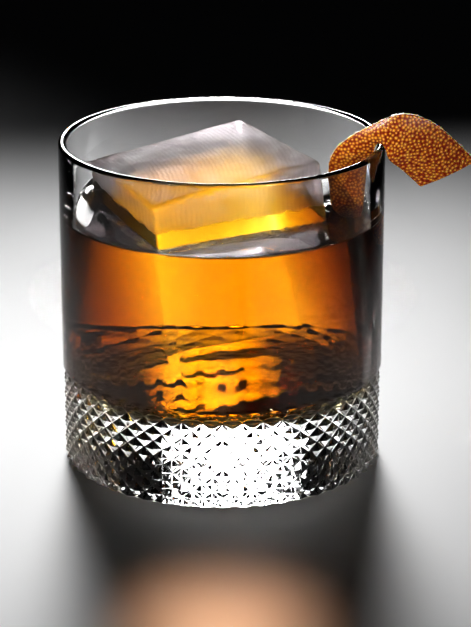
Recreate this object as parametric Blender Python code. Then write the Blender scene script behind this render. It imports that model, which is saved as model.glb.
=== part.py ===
"""Old fashioned cocktail: a cut tumbler, the drink in it, one clear block of ice and a twist of orange peel.

Metres, +Z up. The origin is the centre of the tumbler's flat base, on the surface that it stands on.
"""

from math import cos, pi, radians, sin

import bmesh
import bpy
from mathutils import Matrix, Vector

MM = 0.001
GAP = 0.3 * MM  # left between pieces that touch

# Tumbler: a straight wall on a thick clear base, with a band of cut diamonds round its foot.
TUMBLER_RADIUS = 44.0 * MM
TUMBLER_HEIGHT = 90.0 * MM
WALL = 2.2 * MM
FLOOR_HEIGHT = 22.5 * MM
FLOOR_FILLET = 5.0 * MM
BASE_RADIUS = 41.6 * MM
DIAMONDS_ROUND = 50
DIAMOND_ROWS = 12
BAND_FOOT = 0.9 * MM
BAND_TOP = 26.6 * MM
BAND_RUNOUT = 0.7 * MM
PEAK_INSET = 0.3 * MM
GROOVE_INSET = 1.2 * MM
LIP_STEPS = 6
FILLET_STEPS = 4
FACET_CREASE = radians(20)  # edges that bend more than this stay sharp

# Drink: fills the tumbler to this height.
DRINK_LEVEL = 68.7 * MM
DRINK_SIDES = 72

# Ice block: sawn square, stood on end and leaning in the glass, with its lowest corner on the glass floor.
ICE_WIDTH = 49.2 * MM
ICE_DEPTH = 48.4 * MM
ICE_HEIGHT = 58.6 * MM
ICE_EDGE = 1.5 * MM
ICE_EDGE_STEPS = 3
ICE_TOP_CENTRE = Vector((-6.2, -3.8, 84.6)) * MM
ICE_LEAN_LEFT = radians(-7.1)
ICE_LEAN_FRONT = radians(3.0)
ICE_TURN = radians(25.5)

# Orange peel: a strip cut from the fruit, nicked in its lower edge where it sits on the rim. Each row gives
# one station along it, in mm: a point on its upper edge and the point across from it on its lower edge. The
# first stations hang in the drink, the middle ones sit over the rim, and the last ones are the free end.
PEEL_STATIONS_MM = (
    ((33.0, 1.5, 60.0), (39.6, 0.5, 60.0)),
    ((30.6, -1.0, 68.3), (39.9, -1.5, 68.5)),
    ((29.5, -3.0, 76.0), (40.2, -3.5, 76.0)),
    ((28.6, -5.0, 82.7), (40.3, -6.4, 83.0)),
    ((29.8, -6.5, 87.6), (40.2, -8.6, 87.4)),
    ((33.9, -8.0, 92.3), (40.8, -9.6, 90.5)),
    ((40.3, -9.5, 96.3), (41.8, -10.1, 91.2)),
    ((47.3, -10.3, 99.3), (43.2, -10.6, 90.2)),
    ((54.5, -10.0, 97.5), (44.6, -10.3, 86.6)),
    ((60.8, -8.5, 92.6), (48.0, -9.0, 83.6)),
    ((67.9, -6.0, 85.1), (53.2, -7.0, 78.3)),
)
PEEL_THICKNESS = 1.7 * MM
PEEL_CROWN = 0.9 * MM
PEEL_STEPS_ALONG = 5
PEEL_STEPS_ACROSS = 6

ROUND_CREASE = radians(40)


def clear_scene():
    for old in list(bpy.data.objects):
        bpy.data.objects.remove(old, do_unlink=True)


def material(name, colour, roughness, transmission=0.0, ior=1.45):
    made = bpy.data.materials.new(name)
    made.use_nodes = True
    shader = made.node_tree.nodes["Principled BSDF"]
    shader.inputs["Base Color"].default_value = (*colour, 1.0)
    shader.inputs["Roughness"].default_value = roughness
    shader.inputs["Metallic"].default_value = 0.0
    shader.inputs["Transmission Weight"].default_value = transmission
    shader.inputs["IOR"].default_value = ior
    return made


def finished_object(name, bm, look=None):
    """Make an object of a closed bmesh, with its faces turned outwards."""
    bmesh.ops.recalc_face_normals(bm, faces=bm.faces)
    mesh = bpy.data.meshes.new(name)
    bm.to_mesh(mesh)
    bm.free()
    made = bpy.data.objects.new(name, mesh)
    bpy.context.collection.objects.link(made)
    if look:
        mesh.materials.append(look)
    return made


def shade_round(made, crease):
    made.data.shade_smooth()
    made.data.set_sharp_from_angle(angle=crease)


def ring(bm, radius, height, count, odd_radius=None):
    """Add a level ring of vertices. Every second one may stand on a radius of its own."""
    radii = (radius, radius if odd_radius is None else odd_radius)
    turns = [2.0 * pi * i / count for i in range(count)]
    return [
        bm.verts.new((radii[i % 2] * cos(turn), radii[i % 2] * sin(turn), height))
        for i, turn in enumerate(turns)
    ]


def bridge(bm, lower, upper, split_on=None):
    """Join two rings with four-sided faces, or with triangles split from every second vertex."""
    count = len(lower)
    for i in range(count):
        j = (i + 1) % count
        if split_on is None:
            bm.faces.new((lower[i], lower[j], upper[j], upper[i]))
        elif i % 2 == split_on:
            bm.faces.new((lower[i], lower[j], upper[j]))
            bm.faces.new((lower[i], upper[j], upper[i]))
        else:
            bm.faces.new((lower[i], lower[j], upper[i]))
            bm.faces.new((lower[j], upper[j], upper[i]))


def close_ring(bm, rim, height):
    """Close a ring with a fan of triangles to a point on the axis."""
    centre = bm.verts.new((0.0, 0.0, height))
    for i, vert in enumerate(rim):
        bm.faces.new((vert, rim[(i + 1) % len(rim)], centre))


def fillet(radius, floor, bend, steps):
    """Points from the floor up round an inner corner to the wall, as (radius, height)."""
    turns = [0.5 * pi * i / steps for i in range(steps + 1)]
    return [(radius - bend + bend * sin(turn), floor + bend - bend * cos(turn)) for turn in turns]


def make_tumbler():
    bm = bmesh.new()
    count = 2 * DIAMONDS_ROUND
    foot = ring(bm, BASE_RADIUS, 0.0, count)
    close_ring(bm, foot, 0.0)
    below = foot
    peak = TUMBLER_RADIUS - PEAK_INSET
    groove = TUMBLER_RADIUS - GROOVE_INSET
    row_height = (BAND_TOP - BAND_FOOT) / DIAMOND_ROWS
    for row in range(DIAMOND_ROWS + 1):
        even, odd = (groove, peak) if row % 2 == 0 else (peak, groove)
        level = ring(bm, even, BAND_FOOT + row * row_height, count, odd)
        bridge(bm, below, level, split_on=None if row == 0 else (row + 1) % 2)
        below = level
    lip = 0.5 * WALL
    lip_turns = [pi * i / LIP_STEPS for i in range(LIP_STEPS + 1)]
    profile = [(TUMBLER_RADIUS, BAND_TOP + BAND_RUNOUT)]
    profile += [
        (TUMBLER_RADIUS - lip + lip * cos(turn), TUMBLER_HEIGHT - lip + lip * sin(turn)) for turn in lip_turns
    ]
    profile += reversed(fillet(TUMBLER_RADIUS - WALL, FLOOR_HEIGHT, FLOOR_FILLET, FILLET_STEPS))
    for radius, height in profile:
        level = ring(bm, radius, height, count)
        bridge(bm, below, level)
        below = level
    close_ring(bm, below, FLOOR_HEIGHT)
    tumbler = finished_object("tumbler", bm, material("clear_crystal", (0.95, 0.96, 0.97), 0.02, 1.0, 1.52))
    shade_round(tumbler, FACET_CREASE)


def ice_frame():
    lean = Matrix.Rotation(ICE_LEAN_LEFT, 4, "Y") @ Matrix.Rotation(ICE_LEAN_FRONT, 4, "X")
    return Matrix.Translation(ICE_TOP_CENTRE) @ lean @ Matrix.Rotation(ICE_TURN, 4, "Z")


def ice_solid(grow):
    """The block with melted, rounded edges, hung below the centre of its top face."""
    bm = bmesh.new()
    bmesh.ops.create_cube(bm, size=1.0)
    size = Vector((ICE_WIDTH, ICE_DEPTH, ICE_HEIGHT)) + Vector((2.0, 2.0, 2.0)) * grow
    bmesh.ops.scale(bm, vec=size, verts=bm.verts)
    bmesh.ops.bevel(
        bm,
        geom=bm.edges,
        offset=ICE_EDGE + grow,
        segments=ICE_EDGE_STEPS,
        profile=0.5,
        affect="EDGES",
        clamp_overlap=True,
    )
    bmesh.ops.translate(bm, vec=(0.0, 0.0, -0.5 * ICE_HEIGHT), verts=bm.verts)
    bmesh.ops.transform(bm, matrix=ice_frame(), verts=bm.verts)
    return bm


def make_ice():
    look = material("clear_ice", (0.93, 0.96, 0.98), 0.08, 1.0, 1.31)
    ice = finished_object("ice_block", ice_solid(0.0), look)
    shade_round(ice, ROUND_CREASE)


def smooth_route(points, steps):
    """Points of a smooth curve through the given ones (Catmull-Rom)."""
    ends = [2 * points[0] - points[1], *points, 2 * points[-1] - points[-2]]
    route = []
    for before, start, end, after in zip(ends, ends[1:], ends[2:], ends[3:]):
        for i in range(steps):
            t = i / steps
            route.append(
                0.5 * (2 * start + (end - before) * t)
                + 0.5 * (2 * before - 5 * start + 4 * end - after) * t**2
                + 0.5 * (3 * start - before - 3 * end + after) * t**3
            )
    return [*route, points[-1]]


def peel_solid(grow):
    """The strip: skin side towards -Y, crowned a little across, with a flat cut at each edge and end."""
    upper = smooth_route([Vector(a) * MM for a, b in PEEL_STATIONS_MM], PEEL_STEPS_ALONG)
    lower = smooth_route([Vector(b) * MM for a, b in PEEL_STATIONS_MM], PEEL_STEPS_ALONG)
    middle = [(a + b) / 2 for a, b in zip(upper, lower)]
    last = len(middle) - 1
    bm = bmesh.new()
    skin, pith = [], []
    for i, centre in enumerate(middle):
        along = (middle[min(i + 1, last)] - middle[max(i - 1, 0)]).normalized()
        across = lower[i] - upper[i]
        outward = across.cross(along).normalized()
        half = 0.5 * across + across.normalized() * grow
        end_shift = along * grow * ((i == last) - (i == 0))
        skin_row, pith_row = [], []
        for k in range(PEEL_STEPS_ACROSS + 1):
            f = 2.0 * k / PEEL_STEPS_ACROSS - 1.0
            point = centre + end_shift + half * f + outward * (PEEL_CROWN * (1.0 - f * f))
            skin_row.append(bm.verts.new(point + outward * grow))
            pith_row.append(bm.verts.new(point - outward * (PEEL_THICKNESS + grow)))
        skin.append(skin_row)
        pith.append(pith_row)
    for i in range(last):
        for k in range(PEEL_STEPS_ACROSS):
            for side in (skin, pith):
                corners = (side[i][k], side[i][k + 1], side[i + 1][k + 1], side[i + 1][k])
                bm.faces.new((corners[0], corners[1], corners[2]))
                bm.faces.new((corners[0], corners[2], corners[3]))
        for k in (0, PEEL_STEPS_ACROSS):
            bm.faces.new((skin[i][k], skin[i + 1][k], pith[i + 1][k], pith[i][k]))
    for i in (0, last):
        for k in range(PEEL_STEPS_ACROSS):
            bm.faces.new((skin[i][k], skin[i][k + 1], pith[i][k + 1], pith[i][k]))
    return bm


def make_peel():
    peel = finished_object("orange_peel", peel_solid(0.0), material("orange_skin", (0.80, 0.27, 0.02), 0.42))
    shade_round(peel, ROUND_CREASE)


def cutter(name, bm):
    made = finished_object(name, bm)
    made.hide_render = True
    made.display_type = "WIRE"
    return made


def make_drink():
    """The liquid: a turned solid that fills the tumbler, cut round the ice and the peel."""
    bm = bmesh.new()
    radius = TUMBLER_RADIUS - WALL - GAP
    below = None
    corner = fillet(radius, FLOOR_HEIGHT + GAP, FLOOR_FILLET, FILLET_STEPS)
    for point in [*corner, (radius, DRINK_LEVEL)]:
        level = ring(bm, *point, DRINK_SIDES)
        if below:
            bridge(bm, below, level)
        else:
            close_ring(bm, level, FLOOR_HEIGHT + GAP)
        below = level
    close_ring(bm, below, DRINK_LEVEL)
    drink = finished_object("drink", bm, material("amber_drink", (0.75, 0.25, 0.03), 0.03, 1.0, 1.35))
    shade_round(drink, ROUND_CREASE)
    for name, shape in (("ice_space", ice_solid(GAP)), ("peel_space", peel_solid(GAP))):
        cut = drink.modifiers.new(name, "BOOLEAN")
        cut.operation = "DIFFERENCE"
        cut.object = cutter(name, shape)


clear_scene()
make_tumbler()
make_ice()
make_peel()
make_drink()
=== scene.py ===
import random
from math import atan2, cos, exp, hypot, pi, radians, sin

import bmesh
import bpy
from mathutils import Euler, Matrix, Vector, noise
from mathutils.bvhtree import BVHTree
from mathutils.kdtree import KDTree


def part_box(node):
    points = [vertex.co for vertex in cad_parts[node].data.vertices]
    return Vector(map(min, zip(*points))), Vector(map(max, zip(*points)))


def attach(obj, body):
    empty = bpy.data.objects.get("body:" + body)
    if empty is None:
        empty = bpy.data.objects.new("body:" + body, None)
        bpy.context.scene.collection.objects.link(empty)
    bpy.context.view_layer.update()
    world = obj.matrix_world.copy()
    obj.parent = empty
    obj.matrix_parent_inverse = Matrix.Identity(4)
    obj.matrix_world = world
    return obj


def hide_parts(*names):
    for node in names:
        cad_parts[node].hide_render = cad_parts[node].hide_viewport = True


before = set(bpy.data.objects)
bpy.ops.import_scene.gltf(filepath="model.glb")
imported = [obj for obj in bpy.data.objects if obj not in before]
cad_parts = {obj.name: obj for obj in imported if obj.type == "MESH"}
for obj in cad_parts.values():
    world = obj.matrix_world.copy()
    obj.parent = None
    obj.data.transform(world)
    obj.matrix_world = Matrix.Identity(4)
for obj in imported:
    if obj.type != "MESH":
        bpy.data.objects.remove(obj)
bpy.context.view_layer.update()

# The table is a plain pale top in a dark studio. A soft panel far behind shines through the drink, and a
# lamp lights the table right behind the glass. From the front, one lamp fills in the ice, a narrow one the
# peel, and an amber one the table before the glass, where the drink throws its colour.
MM = 0.001
TABLE_SIZE = 6.0
TABLE_DROP = 0.05 * MM
TABLE_COLOUR = (0.82, 0.82, 0.83, 1.0)
STUDIO_COLOUR = (0.9, 0.93, 1.0, 1.0)
STUDIO_LIGHT = 0.002

bpy.ops.object.select_all(action="DESELECT")
bpy.ops.mesh.primitive_plane_add(size=TABLE_SIZE, location=(0.0, 0.0, -TABLE_DROP))
table = bpy.context.object
table.name = "table_top"
bpy.ops.object.transform_apply(location=True)
pale_table = bpy.data.materials.new("pale_table")
pale_table.use_nodes = True
matt = pale_table.node_tree.nodes["Principled BSDF"]
matt.inputs["Base Color"].default_value = TABLE_COLOUR
matt.inputs["Roughness"].default_value = 0.55
table.data.materials.append(pale_table)

studio = bpy.data.worlds.new("dark_studio")
bpy.context.scene.world = studio
studio.use_nodes = True
studio.node_tree.nodes["Background"].inputs["Color"].default_value = STUDIO_COLOUR
studio.node_tree.nodes["Background"].inputs["Strength"].default_value = STUDIO_LIGHT


def aim(lamp, place, target):
    """Put a lamp in its place and turn it to shine at a point."""
    lamp.location = place
    lamp.rotation_euler = (Vector(place) - Vector(target)).to_track_quat("Z", "Y").to_euler()


def hang_spot(name, power, cone, softness, place, target):
    """Hang a lamp that throws a soft-edged cone of light, so many degrees wide, at a point."""
    bpy.ops.object.light_add(type="SPOT")
    lamp = bpy.context.object
    lamp.name = name
    lamp.data.energy = power
    lamp.data.spot_size = radians(cone)
    lamp.data.spot_blend = 1.0
    lamp.data.shadow_soft_size = softness
    aim(lamp, place, target)
    return lamp


centre_lamp = hang_spot("centre_lamp", 95.0, 18.0, 0.02, (0.0, 0.30, 0.5), (0.0, 0.14, 0.0))
centre_lamp.scale = (0.42, 1.0, 1.0)

bpy.ops.object.light_add(type="AREA")
back_panel = bpy.context.object
back_panel.name = "back_panel"
back_panel.data.shape = "RECTANGLE"
back_panel.data.size = 0.34
back_panel.data.size_y = 0.16
back_panel.data.energy = 0.16
back_panel.data.spread = radians(24.0)
aim(back_panel, (-0.05, 0.55, 0.235), (-0.02, 0.0, 0.0))

hang_spot("front_fill", 13.0, 12.0, 0.06, (0.35, -0.5, 0.25), (0.035, 0.0, 0.085))
hang_spot("peel_light", 150.0, 2.6, 0.03, (-0.26, -0.32, 0.46), (0.030, -0.006, 0.075))
amber_glow = hang_spot("amber_glow", 12.0, 11.0, 0.02, (0.0, -0.22, 0.45), (0.0, -0.118, 0.0))
amber_glow.data.color = (1.0, 0.56, 0.33)
amber_glow.scale = (0.42, 1.0, 1.0)

bpy.context.scene.view_settings.view_transform = "Standard"
bpy.context.scene.view_settings.look = "Medium High Contrast"
bpy.context.scene.cycles.max_bounces = 40
bpy.context.scene.cycles.transmission_bounces = 40
bpy.context.scene.cycles.glossy_bounces = 12
bpy.context.scene.cycles.sample_clamp_indirect = 0.0

# The camera looks down at the glass from the front, through a long lens.
CAMERA_PLACE = (0.0, -0.7083, 0.2898)
CAMERA_PITCH = radians(19.43)
CAMERA_YAW = radians(0.30)
CAMERA_LENS = 156.9

bpy.ops.object.camera_add(
    location=CAMERA_PLACE, rotation=(0.5 * pi - CAMERA_PITCH, 0.0, -CAMERA_YAW)
)
camera = bpy.context.object
camera.data.sensor_width = 36.0
camera.data.lens = CAMERA_LENS
camera.data.clip_start = 0.01
bpy.context.scene.camera = camera

# The tumbler is one piece of clear crystal: a straight polished wall on a thick base, with a band of
# diamonds cut round its foot. It is blown, and the grooves are ground in and polished.
tumbler_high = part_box("tumbler")[1]
RADIUS = tumbler_high.y
HEIGHT = tumbler_high.z
WALL = 2.2 * MM
FLOOR = 22.5 * MM
FLOOR_FILLET = 5.0 * MM
FOOT_RADIUS = 41.6 * MM
DIAMONDS = 50
DIAMOND_ROWS = 12
BAND_FOOT = 0.9 * MM
BAND_TOP = 26.6 * MM
BAND_RUNOUT = 0.7 * MM
PEAK_RADIUS = RADIUS - 0.3 * MM
GROOVE_RADIUS = RADIUS - 1.2 * MM
CUT_ROUNDING = 0.14 * MM
CUT_ANGLE = radians(14.0)
CUT_FINISH = (0.02, 0.07)
WALL_SIDES = 400
LIP = 0.5 * WALL
INNER_RADIUS = RADIUS - WALL
INSIDE_WALL = INNER_RADIUS + 0.5 * LIP
NEAR = 0.1 * MM


def start_ring(sides, radius, height):
    """Add a ring of edges, which is left selected, and give back its radius and height."""
    bpy.ops.mesh.primitive_circle_add(vertices=sides, radius=radius, location=(0.0, 0.0, height))
    return radius, height


def draw_on(ring, profile):
    """Extrude the selected ring through the radii and heights of a profile."""
    for radius, height in profile:
        bpy.ops.mesh.extrude_region_move(TRANSFORM_OT_translate={"value": (0.0, 0.0, height - ring[1])})
        scale = radius / ring[0]
        bpy.ops.transform.resize(value=(scale, scale, 1.0), center_override=(0.0, 0.0, height))
        ring = (radius, height)


def round_corner(centre_radius, centre_height, bend, start, end, steps):
    """Radii and heights along a round corner, from one angle to another in degrees."""
    turns = [radians(start + (end - start) * i / steps) for i in range(steps + 1)]
    return [(centre_radius + bend * cos(turn), centre_height + bend * sin(turn)) for turn in turns]


def pick(piece, wanted):
    """Select only the vertices that pass a test on their place, and what lies between them."""
    bpy.ops.mesh.select_all(action="DESELECT")
    shape = bmesh.from_edit_mesh(piece.data)
    for vert in shape.verts:
        vert.select = wanted(vert.co)
    shape.select_flush_mode()
    bmesh.update_edit_mesh(piece.data)


bpy.ops.object.select_all(action="DESELECT")
foot = start_ring(2 * DIAMONDS, FOOT_RADIUS, 0.0)
tumbler = bpy.context.object
tumbler.name = "cut_tumbler"
bpy.ops.object.mode_set(mode="EDIT")
bpy.ops.mesh.select_all(action="SELECT")
row_height = (BAND_TOP - BAND_FOOT) / DIAMOND_ROWS
draw_on(foot, [(PEAK_RADIUS, BAND_FOOT + row * row_height) for row in range(DIAMOND_ROWS + 1)])
wall_foot = start_ring(WALL_SIDES, RADIUS, BAND_TOP + BAND_RUNOUT)
draw_on(
    wall_foot,
    [
        (RADIUS, 0.5 * HEIGHT),
        *round_corner(RADIUS - LIP, HEIGHT - LIP, LIP, 0.0, 180.0, 14),
        *round_corner(INNER_RADIUS - FLOOR_FILLET, FLOOR + FLOOR_FILLET, FLOOR_FILLET, 0.0, -90.0, 12),
        (0.5 * INNER_RADIUS, FLOOR),
        (0.5 * MM, FLOOR),
    ],
)
bpy.ops.mesh.edge_face_add()
bpy.ops.mesh.select_mode(type="EDGE")
bpy.ops.mesh.select_all(action="DESELECT")
shape = bmesh.from_edit_mesh(tumbler.data)
for edge in shape.edges:
    edge.select = edge.is_boundary and edge.verts[0].co.z > 0.5 * BAND_TOP
bmesh.update_edit_mesh(tumbler.data)
bpy.ops.mesh.bridge_edge_loops()
bpy.ops.mesh.select_mode(type="VERT")
pick(tumbler, lambda co: co.z < NEAR)
bpy.ops.mesh.edge_face_add()


def on_band(co):
    """Whether a place is on the outside of the wall, within the cut band."""
    return hypot(co.x, co.y) > INSIDE_WALL and BAND_FOOT - NEAR < co.z < BAND_TOP + NEAR


def where_grooves_cross(co):
    """Whether a place is one of every second corner of the band's grid, where two grooves meet."""
    row = round((co.z - BAND_FOOT) / row_height)
    column = round(atan2(co.y, co.x) * DIAMONDS / pi)
    return on_band(co) and (row + column) % 2 == 0


pick(tumbler, where_grooves_cross)
cut_in = GROOVE_RADIUS / PEAK_RADIUS
bpy.ops.transform.resize(value=(cut_in, cut_in, 1.0), center_override=(0.0, 0.0, 0.0))
pick(tumbler, on_band)
bpy.ops.mesh.quads_convert_to_tris(quad_method="SHORTEST_DIAGONAL")
bpy.ops.mesh.select_all(action="SELECT")
bpy.ops.mesh.normals_make_consistent(inside=False)
bpy.ops.object.mode_set(mode="OBJECT")
polisher = tumbler.modifiers.new("polished_cuts", "BEVEL")
polisher.width = CUT_ROUNDING
polisher.segments = 2
polisher.limit_method = "ANGLE"
polisher.angle_limit = CUT_ANGLE
bpy.ops.object.modifier_apply(modifier=polisher.name)
bpy.ops.object.shade_smooth_by_angle(angle=radians(30.0))


def add_node(nodes, kind, **settings):
    """Add a shader node, with its settings and the values of its named or numbered inputs."""
    node = nodes.new(kind)
    for name, value in settings.items():
        if name == "inputs":
            for socket, amount in value.items():
                node.inputs[socket].default_value = amount
        else:
            setattr(node, name, value)
    return node


clear_crystal = bpy.data.materials.new("clear_crystal")
clear_crystal.use_nodes = True
crystal_nodes = clear_crystal.node_tree.nodes
crystal_links = clear_crystal.node_tree.links
polish = crystal_nodes["Principled BSDF"]
polish.inputs["Base Color"].default_value = (1.0, 1.0, 1.0, 1.0)
polish.inputs["IOR"].default_value = 1.52
polish.inputs["Transmission Weight"].default_value = 1.0

# Crystal: the wheel leaves the cut band a little less polished than the blown wall.
on_glass = add_node(crystal_nodes, "ShaderNodeTexCoord")
glass_axes = add_node(crystal_nodes, "ShaderNodeSeparateXYZ")
crystal_links.new(on_glass.outputs["Object"], glass_axes.inputs["Vector"])
across = add_node(crystal_nodes, "ShaderNodeVectorMath", operation="MULTIPLY", inputs={1: (1.0, 1.0, 0.0)})
crystal_links.new(on_glass.outputs["Object"], across.inputs[0])
from_axis = add_node(crystal_nodes, "ShaderNodeVectorMath", operation="LENGTH")
crystal_links.new(across.outputs["Vector"], from_axis.inputs[0])
outside = add_node(crystal_nodes, "ShaderNodeMath", operation="GREATER_THAN", inputs={1: INSIDE_WALL})
crystal_links.new(from_axis.outputs["Value"], outside.inputs[0])
below_top = add_node(crystal_nodes, "ShaderNodeMath", operation="LESS_THAN", inputs={1: BAND_TOP})
crystal_links.new(glass_axes.outputs["Z"], below_top.inputs[0])
cut = add_node(crystal_nodes, "ShaderNodeMath", operation="MULTIPLY")
crystal_links.new(outside.outputs["Value"], cut.inputs[0])
crystal_links.new(below_top.outputs["Value"], cut.inputs[1])
wheel_grain = add_node(crystal_nodes, "ShaderNodeTexNoise", inputs={"Scale": 700.0, "Detail": 3.0})
crystal_links.new(on_glass.outputs["Object"], wheel_grain.inputs["Vector"])
wheel_finish = add_node(
    crystal_nodes,
    "ShaderNodeMapRange",
    inputs={"From Min": 0.3, "From Max": 0.7, "To Min": CUT_FINISH[0], "To Max": CUT_FINISH[1]},
)
crystal_links.new(wheel_grain.outputs["Fac"], wheel_finish.inputs["Value"])
matt_cuts = add_node(crystal_nodes, "ShaderNodeMath", operation="MULTIPLY")
crystal_links.new(cut.outputs["Value"], matt_cuts.inputs[0])
crystal_links.new(wheel_finish.outputs["Result"], matt_cuts.inputs[1])
crystal_links.new(matt_cuts.outputs["Value"], polish.inputs["Roughness"])
tumbler.data.materials.append(clear_crystal)
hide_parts("tumbler")
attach(tumbler, "root")

# The ice is one block sawn square from clear ice. Its edges have melted round, its dry faces have frosted,
# and it stands on a corner in the tumbler, leaning on the wall.
ICE_SIZE = (49.2 * MM, 48.4 * MM, 58.6 * MM)
ICE_EDGE = 1.5 * MM
ICE_TOP = (-6.2 * MM, -3.8 * MM, 84.6 * MM)
ICE_TILT = (radians(3.0), radians(-7.1), radians(25.5))
ICE_GRID = 40
MELT_DEPTH = 0.5 * MM
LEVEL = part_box("drink")[1].z
FROST_FOOT = LEVEL + 5.0 * MM
FROST_FADE = 0.9 * MM
FROST_WAVER = 3.0 * MM
FROST_THIN = 0.45
FROST_THICK = 0.9
WET_ROUGHNESS = 0.015
CLEAR_COLOUR = (1.0, 1.0, 1.0, 1.0)
FROST_COLOUR = (0.64, 0.57, 0.60, 1.0)
SAW_CENTRE = (0.09, -0.02, 0.0)
SAW_DEPTH = 0.06 * MM


def sawn_block(name, cuts):
    """A block with melted edges and faces, hung by the centre of its top and tilted as it stands."""
    bpy.ops.object.select_all(action="DESELECT")
    bpy.ops.mesh.primitive_cube_add(size=1.0, scale=ICE_SIZE)
    block = bpy.context.object
    block.name = name
    bpy.ops.object.transform_apply(scale=True)
    bpy.ops.object.mode_set(mode="EDIT")
    bpy.ops.mesh.select_all(action="SELECT")
    bpy.ops.mesh.subdivide(number_cuts=cuts)
    bpy.ops.object.mode_set(mode="OBJECT")
    core = [0.5 * side - ICE_EDGE for side in ICE_SIZE]
    for vert in block.data.vertices:
        inner = Vector([max(-limit, min(limit, value)) for value, limit in zip(vert.co, core)])
        if (vert.co - inner).length > ICE_EDGE:
            vert.co = inner + (vert.co - inner).normalized() * ICE_EDGE
    melt = block.modifiers.new("melt", "DISPLACE")
    melt.texture = melt_swells
    melt.mid_level = 0.5
    melt.strength = MELT_DEPTH
    bpy.ops.object.modifier_apply(modifier=melt.name)
    block.rotation_mode = "ZXY"
    block.rotation_euler = ICE_TILT
    bpy.context.view_layer.update()
    block.location = Vector(ICE_TOP) - block.matrix_world.to_3x3() @ Vector((0.0, 0.0, 0.5 * ICE_SIZE[2]))
    bpy.ops.object.transform_apply(location=True, rotation=True)
    bpy.ops.object.shade_smooth()
    return block


melt_swells = bpy.data.textures.new("melt_swells", "CLOUDS")
melt_swells.noise_scale = 11.0 * MM
melt_swells.noise_depth = 1
ice_space = sawn_block("ice_space", ICE_GRID)
ice = sawn_block("clear_ice_block", 2 * ICE_GRID)

clear_ice = bpy.data.materials.new("clear_ice")
clear_ice.use_nodes = True
ice_nodes = clear_ice.node_tree.nodes
ice_links = clear_ice.node_tree.links
wet = ice_nodes["Principled BSDF"]
wet.inputs["IOR"].default_value = 1.31
wet.inputs["Transmission Weight"].default_value = 1.0

# Ice: patterns are laid out on the block, from the centre of its top face.
place = add_node(ice_nodes, "ShaderNodeTexCoord")
on_block = add_node(ice_nodes, "ShaderNodeMapping", vector_type="TEXTURE")
on_block.inputs["Location"].default_value = ICE_TOP
on_block.inputs["Rotation"].default_value = Euler(ICE_TILT, "ZXY").to_matrix().to_euler("XYZ")
ice_links.new(place.outputs["Object"], on_block.inputs["Vector"])

# Ice: the frosted part begins in a wavy line a little above the drink.
height = add_node(ice_nodes, "ShaderNodeSeparateXYZ")
ice_links.new(place.outputs["Object"], height.inputs["Vector"])
wander = add_node(ice_nodes, "ShaderNodeTexNoise", inputs={"Scale": 260.0, "Detail": 3.0})
ice_links.new(on_block.outputs["Vector"], wander.inputs["Vector"])
tide = add_node(
    ice_nodes, "ShaderNodeMath", operation="MULTIPLY_ADD", inputs={1: FROST_WAVER, 2: -0.5 * FROST_WAVER}
)
ice_links.new(wander.outputs["Fac"], tide.inputs[0])
above = add_node(ice_nodes, "ShaderNodeMath", operation="ADD")
ice_links.new(height.outputs["Z"], above.inputs[0])
ice_links.new(tide.outputs["Value"], above.inputs[1])
frost = add_node(
    ice_nodes,
    "ShaderNodeMapRange",
    inputs={"From Min": FROST_FOOT, "From Max": FROST_FOOT + FROST_FADE, "To Min": 0.0, "To Max": 1.0},
)
ice_links.new(above.outputs["Value"], frost.inputs["Value"])

# Ice: frost is patchy, and rougher where it is thick.
patches = add_node(ice_nodes, "ShaderNodeTexNoise", inputs={"Scale": 90.0, "Detail": 6.0, "Roughness": 0.65})
ice_links.new(on_block.outputs["Vector"], patches.inputs["Vector"])
bloom = add_node(
    ice_nodes,
    "ShaderNodeMapRange",
    inputs={"From Min": 0.3, "From Max": 0.7, "To Min": FROST_THIN, "To Max": FROST_THICK},
)
ice_links.new(patches.outputs["Fac"], bloom.inputs["Value"])
roughness = add_node(ice_nodes, "ShaderNodeMix", data_type="FLOAT", inputs={"A": WET_ROUGHNESS})
ice_links.new(frost.outputs["Result"], roughness.inputs["Factor"])
ice_links.new(bloom.outputs["Result"], roughness.inputs["B"])
ice_links.new(roughness.outputs["Result"], wet.inputs["Roughness"])

# Ice: thick frost lets less light through.
veil = add_node(ice_nodes, "ShaderNodeMix", data_type="RGBA", inputs={6: CLEAR_COLOUR, 7: FROST_COLOUR})
ice_links.new(frost.outputs["Result"], veil.inputs["Factor"])
ice_links.new(veil.outputs[2], wet.inputs["Base Color"])

# Ice: saw marks run in wide arcs over the top and down the faces, only where the block is dry.
arcs = add_node(
    ice_nodes,
    "ShaderNodeTexWave",
    wave_type="RINGS",
    rings_direction="SPHERICAL",
    inputs={"Scale": 260.0, "Distortion": 3.0, "Detail": 2.0, "Detail Scale": 1.5},
)
saw_centre = add_node(ice_nodes, "ShaderNodeMapping", vector_type="POINT")
saw_centre.inputs["Location"].default_value = SAW_CENTRE
ice_links.new(on_block.outputs["Vector"], saw_centre.inputs["Vector"])
ice_links.new(saw_centre.outputs["Vector"], arcs.inputs["Vector"])
marks = add_node(ice_nodes, "ShaderNodeMath", operation="MULTIPLY")
ice_links.new(arcs.outputs["Fac"], marks.inputs[0])
ice_links.new(frost.outputs["Result"], marks.inputs[1])
scored = add_node(ice_nodes, "ShaderNodeBump", inputs={"Strength": 0.6, "Distance": SAW_DEPTH})
ice_links.new(marks.outputs["Value"], scored.inputs["Height"])
ice_links.new(scored.outputs["Normal"], wet.inputs["Normal"])

ice.data.materials.append(clear_ice)
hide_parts("ice_block")
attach(ice, "root")

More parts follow.
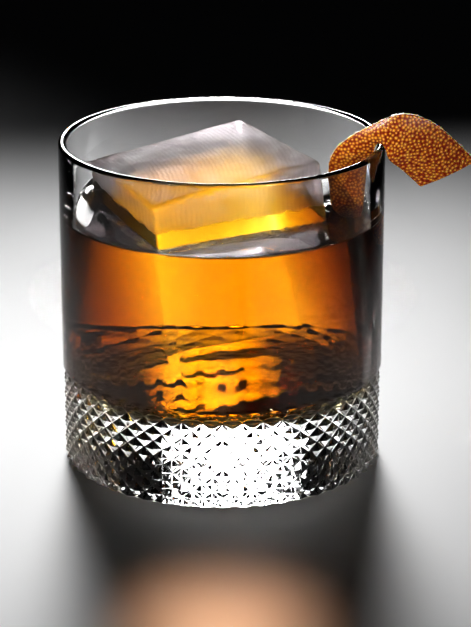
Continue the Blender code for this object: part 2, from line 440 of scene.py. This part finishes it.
# The drink is a clear amber liquid that fills the tumbler to its level. It climbs a little where it wets
# the wall, the ice and the peel. It reaches a hair into the wall and the ice, so that no air shows between.
OVERLAP = 0.3 * MM
CLIMB = 1.4 * MM
CLIMB_REACH = 1.6 * MM
ICE_HAIR = 0.12 * MM
PEEL_HAIR = 0.1 * MM
MERGE = 0.01 * MM
DRINK_SIDES = 256
AMBER_COLOUR = (0.80, 0.665, 0.0, 1.0)
AMBER_DENSITY = 270.0
drink_radius = INNER_RADIUS + OVERLAP
drink_floor = FLOOR - OVERLAP

bpy.ops.object.select_all(action="DESELECT")
bottom = start_ring(DRINK_SIDES, drink_radius - FLOOR_FILLET, drink_floor)
drink = bpy.context.object
drink.name = "amber_liquid"
bpy.ops.object.mode_set(mode="EDIT")
bpy.ops.mesh.select_all(action="SELECT")
bpy.ops.mesh.edge_face_add()
fine_steps = [0.0, 0.2, 0.4, 0.65, 0.95, 1.3, 1.7, 2.2, 2.8, 3.5, 4.3]
steps_in = [step * MM for step in fine_steps + [5.2 + i for i in range(36)]]
draw_on(
    bottom,
    [
        *round_corner(drink_radius - FLOOR_FILLET, drink_floor + FLOOR_FILLET, FLOOR_FILLET, -80.0, 0.0, 8),
        *[
            (drink_radius - step, LEVEL + CLIMB * exp(-max(step - OVERLAP, 0.0) / CLIMB_REACH))
            for step in steps_in
        ],
    ],
)
bpy.ops.mesh.edge_face_add()
bpy.ops.mesh.select_all(action="SELECT")
bpy.ops.mesh.normals_make_consistent(inside=False)
bpy.ops.object.mode_set(mode="OBJECT")
bpy.ops.object.transform_apply(location=True)


def tight_space(source, name, hair):
    """A copy of a piece, a hair smaller than it, to cut its place out of the drink."""
    bpy.ops.object.select_all(action="DESELECT")
    space = bpy.data.objects.new(name, source.data.copy())
    bpy.context.scene.collection.objects.link(space)
    bpy.context.view_layer.objects.active = space
    space.select_set(True)
    bpy.ops.object.mode_set(mode="EDIT")
    bpy.ops.mesh.select_all(action="SELECT")
    bpy.ops.mesh.remove_doubles(threshold=MERGE)
    bpy.ops.transform.shrink_fatten(value=-hair)
    bpy.ops.object.mode_set(mode="OBJECT")
    return space


spaces = [
    tight_space(ice_space, "ice_space_tight", ICE_HAIR),
    tight_space(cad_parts["orange_peel"], "peel_space_tight", PEEL_HAIR),
]
bpy.data.objects.remove(ice_space)
shown = bpy.context.evaluated_depsgraph_get()
trees = [BVHTree.FromObject(space, shown) for space in spaces]
for vert in drink.data.vertices:
    if vert.co.z > LEVEL - NEAR and hypot(vert.co.x, vert.co.y) < drink_radius - OVERLAP:
        at_level = Vector((vert.co.x, vert.co.y, LEVEL))
        vert.co.z += CLIMB * sum(exp(-tree.find_nearest(at_level)[3] / CLIMB_REACH) for tree in trees)
for space in spaces:
    bpy.context.view_layer.objects.active = drink
    cutter = drink.modifiers.new("cutter", "BOOLEAN")
    cutter.operation = "DIFFERENCE"
    cutter.object = space
    bpy.ops.object.modifier_apply(modifier=cutter.name)
    bpy.data.objects.remove(space)
bpy.ops.object.select_all(action="DESELECT")
drink.select_set(True)
bpy.context.view_layer.objects.active = drink
bpy.ops.object.shade_smooth_by_angle(angle=radians(32.0))

drink.data.materials.clear()
amber = bpy.data.materials.new("amber_drink")
amber.use_nodes = True
liquid = amber.node_tree.nodes["Principled BSDF"]
liquid.inputs["Base Color"].default_value = (1.0, 1.0, 1.0, 1.0)
liquid.inputs["Roughness"].default_value = 0.0
liquid.inputs["IOR"].default_value = 1.35
liquid.inputs["Transmission Weight"].default_value = 1.0
depth = amber.node_tree.nodes.new("ShaderNodeVolumeAbsorption")
depth.inputs["Color"].default_value = AMBER_COLOUR
depth.inputs["Density"].default_value = AMBER_DENSITY
amber.node_tree.links.new(depth.outputs["Volume"], amber.node_tree.nodes["Material Output"].inputs["Volume"])
drink.data.materials.append(amber)
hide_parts("drink")
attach(drink, "root")

# The peel is a strip pared from an orange: waxy skin full of oil glands, on pale pith that shows where the
# knife went. It stands in the drink against the ice, and curls out over the rim.
GLAND_SPACING = 0.8 * MM
GLAND_SIZE = 0.3 * MM
GLAND_RISE = 0.055 * MM
GLAND_VARIETY = (0.75, 1.2)
GLAND_FADE = 0.3 * MM
PEEL_SEED = 7
PEEL_THICKNESS = 1.7 * MM
PEEL_SHARP = radians(50.0)
EDGE_HOLD = 0.85
SKIN_TURN = -0.25
ZEST_DEPTH = (0.16, 0.3)
PITH_RAG = 0.35 * MM
PITH_RAG_SCALE = 900.0
ZEST_DEEP = (0.22, 0.014, 0.0003, 1.0)
# The gland colour is a painted highlight and glow laid on each raised oil gland, paler than the deep skin.
GLAND_HIGHLIGHT_COLOUR = (1.0, 0.5, 0.07, 1.0)
PITH_COLOUR = (0.93, 0.80, 0.55, 1.0)

bpy.ops.object.select_all(action="DESELECT")
peel = bpy.data.objects.new("peel_twist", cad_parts["orange_peel"].data.copy())
bpy.context.scene.collection.objects.link(peel)
bpy.context.view_layer.objects.active = peel
peel.select_set(True)
bpy.ops.object.mode_set(mode="EDIT")
bpy.ops.mesh.select_all(action="SELECT")
bpy.ops.mesh.remove_doubles(threshold=MERGE)
bpy.ops.mesh.tris_convert_to_quads(face_threshold=radians(60.0), shape_threshold=radians(60.0))
bpy.ops.mesh.select_mode(type="EDGE")
bpy.ops.mesh.select_all(action="DESELECT")
bpy.ops.mesh.edges_select_sharp(sharpness=PEEL_SHARP)
bpy.ops.transform.edge_crease(value=EDGE_HOLD)
bpy.ops.object.mode_set(mode="OBJECT")
smoother = peel.modifiers.new("smoother", "SUBSURF")
smoother.levels = 3
smoother.render_levels = 3
bpy.ops.object.modifier_apply(modifier=smoother.name)
bpy.ops.object.shade_smooth_by_angle(angle=PEEL_SHARP)


def spread_out(points, spacing):
    """Keep points that stand at least a spacing apart."""
    taken = {}
    kept = []
    for point in points:
        cell = tuple(int(value // spacing) for value in point)
        around = [
            other
            for dx in (-1, 0, 1)
            for dy in (-1, 0, 1)
            for dz in (-1, 0, 1)
            for other in taken.get((cell[0] + dx, cell[1] + dy, cell[2] + dz), ())
        ]
        if all((point - other).length > spacing for other in around):
            taken.setdefault(cell, []).append(point)
            kept.append(point)
    return kept


def tree_of(points):
    """A search tree of points, to find the one nearest to a place."""
    tree = KDTree(len(points))
    for number, point in enumerate(points):
        tree.insert(point, number)
    tree.balance()
    return tree


skin_side = [vert for vert in peel.data.vertices if vert.normal.y < SKIN_TURN]
skin_tree = tree_of([vert.co.copy() for vert in skin_side])
chance = random.Random(PEEL_SEED)
seeds = [vert.co.copy() for vert in skin_side]
chance.shuffle(seeds)
glands = spread_out(seeds, GLAND_SPACING)
gland_tree = tree_of(glands)
gland_sizes = [GLAND_SIZE * chance.uniform(*GLAND_VARIETY) for _ in glands]
swells = []
depths = []
shaped = []
for vert in peel.data.vertices:
    below = skin_tree.find(vert.co)[2]
    _, number, away = gland_tree.find(vert.co)
    swell = exp(-((away / gland_sizes[number]) ** 2)) * max(0.0, 1.0 - below / GLAND_FADE)
    ragged = noise.noise(vert.co * PITH_RAG_SCALE) * PITH_RAG * min(1.0, below / (0.5 * PEEL_THICKNESS))
    swells.append(swell)
    depths.append(below / PEEL_THICKNESS)
    shaped.extend(vert.co + vert.normal * (swell * GLAND_RISE + ragged))
peel.data.attributes.new("gland", "FLOAT", "POINT").data.foreach_set("value", swells)
peel.data.attributes.new("depth", "FLOAT", "POINT").data.foreach_set("value", depths)
peel.data.vertices.foreach_set("co", shaped)
peel.data.update()

peel.data.materials.clear()
orange_skin = bpy.data.materials.new("orange_skin")
orange_skin.use_nodes = True
peel_nodes = orange_skin.node_tree.nodes
peel_links = orange_skin.node_tree.links
zest = peel_nodes["Principled BSDF"]
zest.inputs["Roughness"].default_value = 0.35
zest.inputs["Subsurface Weight"].default_value = 0.6
zest.inputs["Subsurface Radius"].default_value = (1.0, 0.45, 0.08)
zest.inputs["Subsurface Scale"].default_value = 1.6 * MM
gland_highlight_at = add_node(peel_nodes, "ShaderNodeAttribute", attribute_name="gland")
depth_at = add_node(peel_nodes, "ShaderNodeAttribute", attribute_name="depth")
# Peel: the skin is deep red-orange, and each raised gland is painted paler orange, a painted highlight and
# glow on the bump.
skin_and_gland_highlights = add_node(peel_nodes, "ShaderNodeMix", data_type="RGBA", inputs={6: ZEST_DEEP, 7: GLAND_HIGHLIGHT_COLOUR})
peel_links.new(gland_highlight_at.outputs["Fac"], skin_and_gland_highlights.inputs["Factor"])
into_pith = add_node(
    peel_nodes, "ShaderNodeMapRange", inputs={"From Min": ZEST_DEPTH[0], "From Max": ZEST_DEPTH[1]}
)
peel_links.new(depth_at.outputs["Fac"], into_pith.inputs["Value"])
peel_tone = add_node(peel_nodes, "ShaderNodeMix", data_type="RGBA", inputs={7: PITH_COLOUR})
peel_links.new(into_pith.outputs["Result"], peel_tone.inputs["Factor"])
peel_links.new(skin_and_gland_highlights.outputs[2], peel_tone.inputs[6])
peel_links.new(peel_tone.outputs[2], zest.inputs["Base Color"])
peel.data.materials.append(orange_skin)
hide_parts("orange_peel")
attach(peel, "root")
